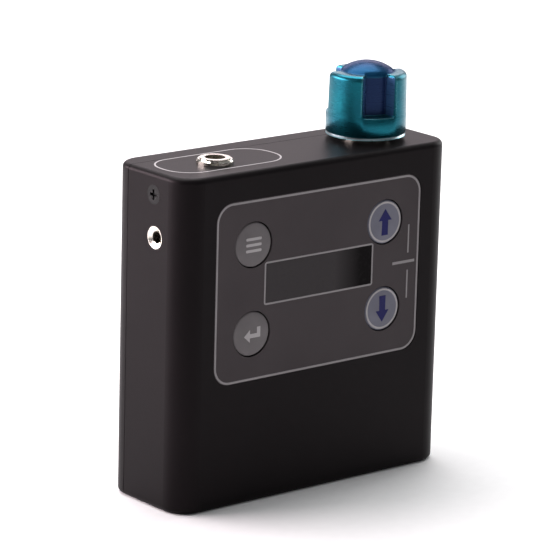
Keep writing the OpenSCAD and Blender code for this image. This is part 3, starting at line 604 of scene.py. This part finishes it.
def front_prints():
    low, high = box_mm("front_overlay")
    face = on_plane("y", low.y, -1)
    middle = ((low.x + high.x) / 2, (low.z + high.z) / 2)
    outer_w = high.x - low.x - 2 * OUTLINE_INSET
    outer_h = high.z - low.z - 2 * OUTLINE_INSET
    outer_r = OVERLAY_RADIUS - OUTLINE_INSET
    outer = round_rect(outer_w, outer_h, outer_r, middle)
    inner = round_rect(outer_w - 2 * OUTLINE_WIDTH, outer_h - 2 * OUTLINE_WIDTH,
                       outer_r - OUTLINE_WIDTH, middle)
    mark("overlay_outline", band(outer, inner, face, INK_HEIGHT), LINE_INK, "case")

    w_low, w_high = box_mm("display_window")
    w_mid = ((w_low.x + w_high.x) / 2, (w_low.z + w_high.z) / 2)
    w, h = w_high.x - w_low.x, w_high.z - w_low.z
    reach = WINDOW_GAP + WINDOW_LINE
    line = round_rect(w + 2 * reach, h + 2 * reach, WINDOW_RADII[0], w_mid)
    edge = round_rect(w + 2 * WINDOW_GAP, h + 2 * WINDOW_GAP, WINDOW_RADII[1], w_mid)
    mark("window_outline", band(line, edge, face, INK_HEIGHT), LINE_INK, "case")

    up_low, up_high = box_mm("key_up")
    down_low, down_high = box_mm("key_down")
    z_up, z_down = (up_low.z + up_high.z) / 2, (down_low.z + down_high.z) / 2
    z_mid = (z_up + z_down) / 2
    half = THIN_LINE / 2
    from_dash, from_key = BRACKET_GAPS
    bars = [
        (BRACKET_X - half, BRACKET_X + half, z_mid + from_dash, z_up - from_key),
        (BRACKET_X - half, BRACKET_X + half, z_down + from_key, z_mid - from_dash),
        (*DASH_X, z_mid - DASH_HALF, z_mid + DASH_HALF),
    ]
    for i, (x0, x1, z0, z1) in enumerate(bars):
        outline = [(x0, z0), (x1, z0), (x1, z1), (x0, z1)]
        mark(f"bracket_{i}", prism(outline, face, INK_HEIGHT), LINE_INK, "case")


# Keys

KEYS = {
    "menu": ("key_menu", "menu_key", GREY_KEY, "grey_key"),
    "back": ("key_back", "back_key", GREY_KEY, "grey_key"),
    "up": ("key_up", "up_key", BLUE_KEY, "blue_key"),
    "down": ("key_down", "down_key", BLUE_KEY, "blue_key"),
}


def key_profile(radius, collar_radius, depth):
    """Half section of a key from the middle of its slightly domed face to the end of its stem."""
    face = [(radius * t, KEY_CROWN * t * t) for t in (0.0, 0.25, 0.5, 0.7, 0.85)]
    rim_r, rim_h = radius - KEY_LIP, KEY_CROWN * 0.95
    rim = [(rim_r + KEY_LIP * math.sin(a), rim_h + KEY_LIP * (1 - math.cos(a)))
           for a in [math.radians(d) for d in (10, 30, 50, 70, 90)]]
    front, end = (depth - inset for inset in KEY_COLLAR_ENDS)
    back = [(radius, front), (collar_radius, front), (collar_radius, end), (KEY_STEM, end),
            (KEY_STEM, depth), (0.0, depth)]
    return face + rim + back


def arrow_outline(middle, size, up):
    """Broad arrow with a stem."""
    x, z = middle
    s = size if up else -size
    half, stem, neck = 0.32 * size, 0.15 * size, z + 0.06 * s
    return [(x - stem, z - 0.5 * s), (x + stem, z - 0.5 * s), (x + stem, neck), (x + half, neck),
            (x, z + 0.5 * s), (x - half, neck), (x - stem, neck)]


def return_outline(middle, size):
    """Arrow to the left with a tail that turns up at its right end."""
    x, z = middle
    t = 0.11 * size
    tip, neck, tail = x - 0.5 * size, x - 0.12 * size, x + 0.34 * size
    end, line, top = tail + 2 * t, z - 0.1 * size, z + 0.34 * size
    return [(tip, line), (neck, z + 0.24 * size), (neck, line + t), (tail, line + t), (tail, top),
            (end, top), (end, line - t), (neck, line - t), (neck, z - 0.44 * size)]


def make_keys():
    for name, (node, body, material, slot) in KEYS.items():
        low, high = box_mm(node)
        x, z = (low.x + high.x) / 2, (low.z + high.z) / 2
        depth = high.y - low.y
        collar = (high.x - low.x) / 2
        radius = collar - KEY_COLLAR
        vertices, faces = revolve(key_profile(radius, collar, depth), KEY_STEPS)
        placed = [Vector((x + u, low.y + h, z + v)) * MM for u, v, h in vertices]
        cap = make_piece(f"{name}_key_cap", placed, faces, material, body)
        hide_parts(node)
        face = on_plane("y", low.y + KEY_MARK_HEIGHT, -1)
        if name == "menu":
            for i in (-1, 0, 1):
                bar = round_rect(*MENU_BAR, (x, z + i * MENU_PITCH), 3)
                mark(f"menu_mark_{i + 1}", prism(bar, face, KEY_MARK_HEIGHT), PALE_INK, body)
        elif name == "back":
            outline = return_outline((x, z), BACK_SIZE)
            mark("back_mark", prism(outline, face, KEY_MARK_HEIGHT), PALE_INK, body)
        else:
            outline = arrow_outline((x, z), ARROW_SIZE, name == "up")
            mark(f"{name}_mark", prism(outline, face, KEY_MARK_HEIGHT), BLUE_INK, body)
            rim_face = on_plane("y", low.y + KEY_CROWN, -1)
            last = 360 - 360 / KEY_RING_POINTS
            outer, inner = (arc(radius - inset, 0, last, (x, z), KEY_RING_POINTS - 1)
                            for inset in KEY_RING_INSETS)
            ring = band(outer, inner, rim_face, KEY_MARK_HEIGHT)
            mark(f"{name}_rim", ring, PALE_INK, body)


# Knob

def resample(points, count):
    """The same line with count points, evenly spaced along it."""
    lengths = [0.0]
    for a, b in zip(points, points[1:]):
        lengths.append(lengths[-1] + math.dist(a, b))
    result = []
    for k in range(count):
        target = lengths[-1] * k / (count - 1)
        i = max(j for j in range(len(points) - 1) if lengths[j] <= target + TINY)
        share = (target - lengths[i]) / max(TINY, lengths[i + 1] - lengths[i])
        a, b = points[i], points[i + 1]
        result.append((a[0] + (b[0] - a[0]) * share, a[1] + (b[1] - a[1]) * share))
    return result


def corner(middle, radius, start, end, steps=5):
    return arc(radius, start, end, middle, steps)


def lobe_share(angle):
    """1 on a lobe, 0 in a flute, with a short soft step between them."""
    step = 360.0 / LOBE_COUNT
    from_lobe = abs((angle - FLUTE_ANGLE) % step - step / 2)
    t = (LOBE_ANGLE / 2 + LOBE_EDGE - from_lobe) / (2 * LOBE_EDGE)
    t = min(1.0, max(0.0, t))
    return t * t * (3 - 2 * t)


def knob_angles():
    """Angles round the knob, close together at the sides of the lobes."""
    step = 360.0 / LOBE_COUNT
    angles = set()
    for i in range(LOBE_COUNT):
        middle = FLUTE_ANGLE + (i + 0.5) * step
        for side in (-1, 1):
            edge = middle + side * LOBE_ANGLE / 2
            angles |= {edge + LOBE_EDGE * k / EDGE_STEPS
                       for k in range(-EDGE_STEPS - 1, EDGE_STEPS + 2)}
        angles |= {middle + k * ANGLE_STEP for k in range(-LOBE_STEPS, LOBE_STEPS + 1)}
        flute = FLUTE_ANGLE + i * step
        angles |= {flute + k * ANGLE_STEP for k in range(-FLUTE_STEPS, FLUTE_STEPS + 1)}
    return sorted({round(a % 360, 4) for a in angles})


def make_knob():
    low, high = box_mm("volume_knob")
    axis = ((low.x + high.x) / 2, (low.y + high.y) / 2)
    radius, foot, apex = (high.x - low.x) / 2, low.z, high.z
    ring_top = foot + KNOB_RING
    lobe_top = ring_top + KNOB_LOBE
    core_top = lobe_top + KNOB_STEP
    dome_h = apex - core_top
    dome_r = (KNOB_CORE ** 2 + dome_h ** 2) / (2 * dome_h)
    recess_r, recess_h = KNOB_RECESS
    lobe_r = radius - KNOB_DRAFT
    soft, nick = KNOB_SOFT, KNOB_NICK
    lip_r, lip_top = radius - KNOB_LIP[0], foot + KNOB_LIP[1]
    under = [(0.0, foot + recess_h), (recess_r, foot + recess_h), (recess_r, foot + soft),
             (recess_r + soft, foot), (radius - 2 * LIP_NICK, foot),
             (radius - LIP_NICK, foot + LIP_NICK), (lip_r + RIM_INSET, lip_top - LIP_NICK),
             (lip_r, lip_top), (radius - nick, lip_top), (radius, lip_top + nick)]
    flute = ([(radius, ring_top - soft)] + corner((radius - soft, ring_top - soft), soft, 0, 90)
             + corner((KNOB_CORE + soft, ring_top + soft), soft, 270, 180)
             + corner((KNOB_CORE - soft, core_top - soft), soft, 0, 50))
    shoulder = lobe_top - KNOB_SHOULDER
    lobe = ([(radius, ring_top - soft), (radius - RIM_INSET, ring_top), (lobe_r, shoulder)]
            + corner((lobe_r - KNOB_SHOULDER, shoulder), KNOB_SHOULDER, 0, 90, 8)
            + [(KNOB_CORE + nick, lobe_top), (KNOB_CORE, lobe_top + nick),
               (KNOB_CORE - nick, core_top)])
    flute, lobe = resample(flute, LINE_POINTS), resample(lobe, LINE_POINTS)
    start = math.degrees(math.asin((KNOB_CORE - DOME_INSET) / dome_r))
    dome = [(dome_r * math.sin(math.radians(a)), apex - dome_r * (1 - math.cos(math.radians(a))))
            for a in [start * (1 - k / DOME_STEPS) for k in range(DOME_STEPS + 1)]]
    angles = knob_angles()
    vertices = []
    for angle in angles:
        share = lobe_share(angle)
        middle = [(a[0] + (b[0] - a[0]) * share, a[1] + (b[1] - a[1]) * share)
                  for a, b in zip(flute, lobe)]
        line = under + middle + dome
        c, s = math.cos(math.radians(angle)), math.sin(math.radians(angle))
        vertices += [Vector((axis[0] + r * c, axis[1] + r * s, z)) * MM for r, z in line]
    n, m = len(under) + LINE_POINTS + len(dome), len(angles)
    faces = []
    for i in range(m):
        j = (i + 1) % m
        faces += [(i * n + k, j * n + k, j * n + k + 1, i * n + k + 1) for k in range(n - 1)]
    knob = make_piece("knob_grip", vertices, faces, KNOB, "knob", KNOB_SHARP)
    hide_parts("volume_knob")


# Top and back prints

def top_prints():
    low, high = box_mm("jack_nut")
    middle = ((low.x + high.x) / 2, (low.y + high.y) / 2)
    top = on_plane("z", box_mm("front_housing")[1].z, 1)
    width, depth, radius = JACK_PANEL
    middle = (middle[0] + JACK_PANEL_SHIFT[0], middle[1] + JACK_PANEL_SHIFT[1])
    outer = round_rect(width, depth, radius, middle)
    inner = round_rect(width - 2 * THIN_LINE, depth - 2 * THIN_LINE, radius - THIN_LINE, middle)
    mark("jack_panel", band(outer, inner, top, INK_HEIGHT), TOP_INK, "case")


def back_prints():
    low, high = box_mm("battery_door")
    back = on_plane("y", high.y, 1)
    x, z = low.x + DOOR_MARK_X, (low.z + high.z) / 2
    triangle = [(x + u, z + v) for u, v in DOOR_MARK]
    mark("door_mark", prism(triangle, back, INK_HEIGHT), TOP_INK, "door")


def plus_outline(middle, size, thick):
    x, z = middle
    a, t = size / 2, thick / 2
    return [(x - t, z - a), (x + t, z - a), (x + t, z - t), (x + a, z - t), (x + a, z + t),
            (x + t, z + t), (x + t, z + a), (x - t, z + a), (x - t, z + t), (x - a, z + t),
            (x - a, z - t), (x - t, z - t)]


def label_prints():
    """Plain marks on the battery's label: a frame, a band, the poles and which way it goes in."""
    low, high = box_mm("battery_label")
    face = on_plane("y", high.y, 1)
    middle = ((low.x + high.x) / 2, (low.z + high.z) / 2)
    width, height = high.x - low.x - 2 * LABEL_MARGIN, high.z - low.z - 2 * LABEL_MARGIN
    outer = round_rect(width, height, LABEL_RADIUS, middle)
    inner = round_rect(width - 2 * THIN_LINE, height - 2 * THIN_LINE, LABEL_RADIUS - THIN_LINE,
                       middle)
    frame_line = band(outer, inner, face, INK_HEIGHT)
    mark("label_frame", frame_line, LABEL_INK, "case")
    narrower, strip_h, strip_r = LABEL_BAND
    strip_z = high.z - LABEL_BAND_DROP - strip_h / 2
    strip = round_rect(width - narrower, strip_h, strip_r, (middle[0], strip_z), 4)
    mark("label_band", prism(strip, face, INK_HEIGHT), LABEL_BLUE, "case")
    foot = low.z + POLE_RISE
    half_w, half_t = POLE_SIZE[0] / 2, POLE_SIZE[1] / 2
    minus = [(-POLE_X - half_w, foot - half_t), (-POLE_X + half_w, foot - half_t),
             (-POLE_X + half_w, foot + half_t), (-POLE_X - half_w, foot + half_t)]
    mark("label_minus", prism(minus, face, INK_HEIGHT), LABEL_INK, "case")
    plus = plus_outline((POLE_X, foot), *POLE_SIZE)
    mark("label_plus", prism(plus, face, INK_HEIGHT), LABEL_INK, "case")
    arrow = arrow_outline((middle[0], middle[1] - LABEL_ARROW_DROP), LABEL_ARROW, False)
    mark("label_arrow", prism(arrow, face, INK_HEIGHT), LABEL_BLUE, "case")


# Stage, light and camera

def make_floor():
    mesh = bpy.data.meshes.new("floor")
    corners = [(x * FLOOR_HALF, y * FLOOR_HALF, 0.0)
               for x, y in ((-1, -1), (1, -1), (1, 1), (-1, 1))]
    mesh.from_pydata(corners, [], [(0, 1, 2, 3)])
    mesh.materials.append(floor_paper())
    floor = bpy.data.objects.new("floor", mesh)
    floor.location.z = cad_low.z - FLOOR_DROP
    bpy.context.scene.collection.objects.link(floor)


def area_light(name, place, target, size, power, color):
    light = bpy.data.lights.new(name, "AREA")
    light.shape = "RECTANGLE"
    light.size, light.size_y = size
    light.energy = power
    light.color = color
    lamp = bpy.data.objects.new(name, light)
    lamp.location = place
    lamp.rotation_euler = (Vector(target) - Vector(place)).to_track_quat("-Z", "Y").to_euler()
    lamp.visible_camera = False
    bpy.context.scene.collection.objects.link(lamp)


def make_lights():
    for light in LIGHTS:
        area_light(*light)
    world = bpy.data.worlds.new("studio")
    world.use_nodes = True
    background = world.node_tree.nodes["Background"]
    background.inputs["Color"].default_value = WORLD_COLOR
    background.inputs["Strength"].default_value = WORLD_STRENGTH
    bpy.context.scene.world = world
    bpy.context.scene.view_settings.view_transform = "Standard"


def make_camera():
    data = bpy.data.cameras.new("camera")
    data.lens = CAMERA_LENS
    data.sensor_width = CAMERA_SENSOR
    data.clip_start, data.clip_end = CAMERA_CLIP
    camera = bpy.data.objects.new("camera", data)
    forward = (CAMERA_TARGET - CAMERA_PLACE).normalized()
    level = forward.cross(Vector((0, 0, 1))).normalized()
    upright = level.cross(forward)
    right = level * math.cos(CAMERA_ROLL) + upright * math.sin(CAMERA_ROLL)
    up = right.cross(forward)
    turn = Matrix((right, up, -forward)).transposed()
    camera.matrix_world = Matrix.Translation(CAMERA_PLACE) @ turn.to_4x4()
    bpy.context.scene.collection.objects.link(camera)
    bpy.context.scene.camera = camera


make_camera()
make_lights()
make_floor()
dress_nodes()
front_prints()
make_keys()
make_knob()
top_prints()
back_prints()
label_prints()
